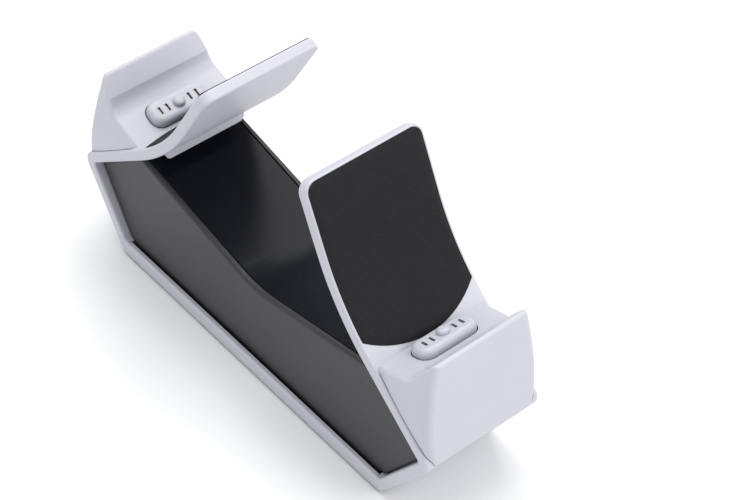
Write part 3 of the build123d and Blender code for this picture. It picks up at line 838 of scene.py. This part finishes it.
# %% Screws in their places
tab_x, tab_y, post_x, post_y = 8.5, 62.34, 9.0, 45.84
hole_x, hole_y, head_seat, board_top = 10.3, 31.84, 2.0, 8.2
base_shank, board_shank, lip_shank = 7.1, 6.2, 10.1
lip_screw_x, lip_screw_run = 13.0, 19.0
corners = [(sx, sy) for sx in (-1, 1) for sy in (-1, 1)]
base_spots = [(sx * x, sy * y) for x, y in ((tab_x, tab_y), (post_x, post_y)) for sx, sy in corners]
base_places = [Matrix.Translation((x, y, head_seat)) for x, y in base_spots]
screw_set("base_screw_set", "base_screws", base_shank, base_places)
flip = Matrix.Rotation(math.pi, 4, "X")
board_places = [Matrix.Translation((sx * hole_x, sy * hole_y, board_top)) @ flip for sx, sy in corners]
screw_set("board_screw_set", "board_screws", board_shank, board_places)
lip_y, lip_z = along(along(tip, rail_line, lip_screw_run), rail_line + 90, band_thickness)
for end, label in ((1, "rear"), (-1, "front")):
    lean = Matrix.Rotation(-end * math.radians(rail_angle), 4, "X")
    lip_places = [Matrix.Translation((sx * lip_screw_x, end * lip_y, lip_z)) @ lean for sx in (-1, 1)]
    screw_set(f"{label}_lip_screw_set", f"{label}_lip_screws", lip_shank, lip_places)

# %% [markdown]
# ## Ribbed feet
# A plain rubber strip slips; these have fine ribs across their sole. We sweep a rounded section along each
# foot and lift the sole a little at two of every four stations, which gives the ribs and the round ends in
# one go.

# %% Feet
foot_x, foot_y, foot_half, foot_round, foot_height = 17.0, 43.84, 17.0, 3.0, 1.3
foot_steps, foot_end, foot_least = 96, 0.02, 0.15
rib_depth, sole_edge = 0.22, 0.35


def ribbed_foot(shape, x, y):
    """One foot: stations along Y, narrower towards the round ends, with a ribbed sole."""
    rings = []
    for i in range(foot_steps + 1):
        s = -foot_half + foot_end + i * (2 * foot_half - 2 * foot_end) / foot_steps
        over = max(0.0, abs(s) - (foot_half - foot_round))
        wide = max(foot_least, math.sqrt(max(0.0, foot_round ** 2 - over ** 2)))
        sole = 0.0 if i % 4 < 2 else rib_depth
        edge = min(sole_edge, wide / 2)
        right = [(wide - edge, sole), (wide, sole + edge), (wide, foot_height)]
        section = [(-dx, z) for dx, z in right[::-1]] + right
        rings.append([(x + dx, y + s, z) for dx, z in section])
    sweep_strip(shape, rings)


foot_shape = bmesh.new()
for x in (-foot_x, foot_x):
    for y in (-foot_y, foot_y):
        ribbed_foot(foot_shape, x, y)
foot_mesh = finish_mesh("ribbed_feet", foot_shape, smooth=False)
ribbed_feet = new_piece("ribbed_feet", foot_mesh, foot_rubber)
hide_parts("feet")

# %% [markdown]
# ## Metal in the power inlet
# The inlet's bore has a plated sleeve and a round-nosed centre pin. Both are bodies of revolution, so a half
# profile spun round the bore's axis makes them with even, clean quads.

# %% Inlet sleeve and pin
inlet_mouth, inlet_sides = (20.7, 0.0, 13.45), 40
sleeve_profile = [(-8.9, 3.18), (-0.5, 3.18), (-0.3, 3.1), (-0.3, 2.95), (-0.5, 2.85), (-8.9, 2.85)]
pin_profile = [(-8.98, 1.06), (-2.3, 1.06), (-1.95, 1.0), (-1.7, 0.8), (-1.58, 0.5), (-1.55, 0.12)]


def spun_along_x(name, profile, place):
    """Body of revolution round the X axis at a place, from (distance along X, radius) pairs."""
    shape = bmesh.new()
    rings = []
    for x, r in profile:
        circle = [(r * math.cos(t), r * math.sin(t)) for t in full_turn(inlet_sides)]
        rings.append([(place[0] + x, place[1] + dy, place[2] + dz) for dy, dz in circle])
    sweep_strip(shape, rings)
    return finish_mesh(name, shape)


sleeve_mesh = spun_along_x("inlet_sleeve", sleeve_profile, inlet_mouth)
new_piece("inlet_sleeve", sleeve_mesh, screw_steel)
pin_mesh = spun_along_x("inlet_pin", pin_profile, inlet_mouth)
new_piece("inlet_pin", pin_mesh, contact_metal)

# %% [markdown]
# ## Floor
# The studio is a white sweep, so the dock stands on a pale, even floor that takes its soft shadow. A grid far
# larger than the dock has no edge in the view. It is not attached to the dock's body, so it isn't part of the
# dock.

# %% Floor
floor_half = 3.0
floor_shape = bmesh.new()
bmesh.ops.create_grid(floor_shape, x_segments=8, y_segments=8, size=floor_half)
floor_mesh = finish_mesh("studio_floor", floor_shape)
floor = bpy.data.objects.new("studio_floor", floor_mesh)
bpy.context.scene.collection.objects.link(floor)
# Painted shade: the floor's darker tone marks a little shade where the dock stands on it.
floor_paper = finish(
    "floor_paper",
    tone=(0.90, 0.90, 0.90), tone_far=(0.88, 0.88, 0.885), crevice_shade_tone=(0.80, 0.80, 0.80),
    rough=(0.7, 0.8), grain_scale=500.0, grain_depth=0.00002, specular=0.2, drift_scale=4.0)
floor_mesh.materials.append(floor_paper)
print("floor:", floor.dimensions.x, "m wide")

# %% [markdown]
# ## Light
# A nearly white world fills the shadows. A broad softbox overhead, a little behind the dock, gives the bends
# their gradients and the floor its shadow, and a weaker one in front lifts the end face. The Standard view
# shows the colours as they are, without the softer contrast of a film look.

# %% World and softboxes
world = bpy.data.worlds.new("studio")
world.use_nodes = True
surround = world.node_tree.nodes["Background"]
surround.inputs["Color"].default_value = (0.97, 0.98, 1.0, 1.0)
surround.inputs["Strength"].default_value = 0.75
bpy.context.scene.world = world
dock_middle = (0.0, 0.0, 0.05)


def softbox(name, place, target, size, power):
    """Square area light that faces a target."""
    data = bpy.data.lights.new(name, "AREA")
    data.size, data.energy = size, power
    lamp = bpy.data.objects.new(name, data)
    lamp.location = place
    lamp.rotation_euler = (Vector(target) - Vector(place)).to_track_quat("-Z", "Y").to_euler()
    bpy.context.scene.collection.objects.link(lamp)
    print(name, power, "W")


softbox("overhead_box", place=(0.25, 0.35, 1.5), target=dock_middle, size=1.2, power=16.0)
softbox("front_box", place=(0.6, -1.2, 0.9), target=dock_middle, size=0.9, power=7.0)
bpy.context.scene.view_settings.view_transform = "Standard"
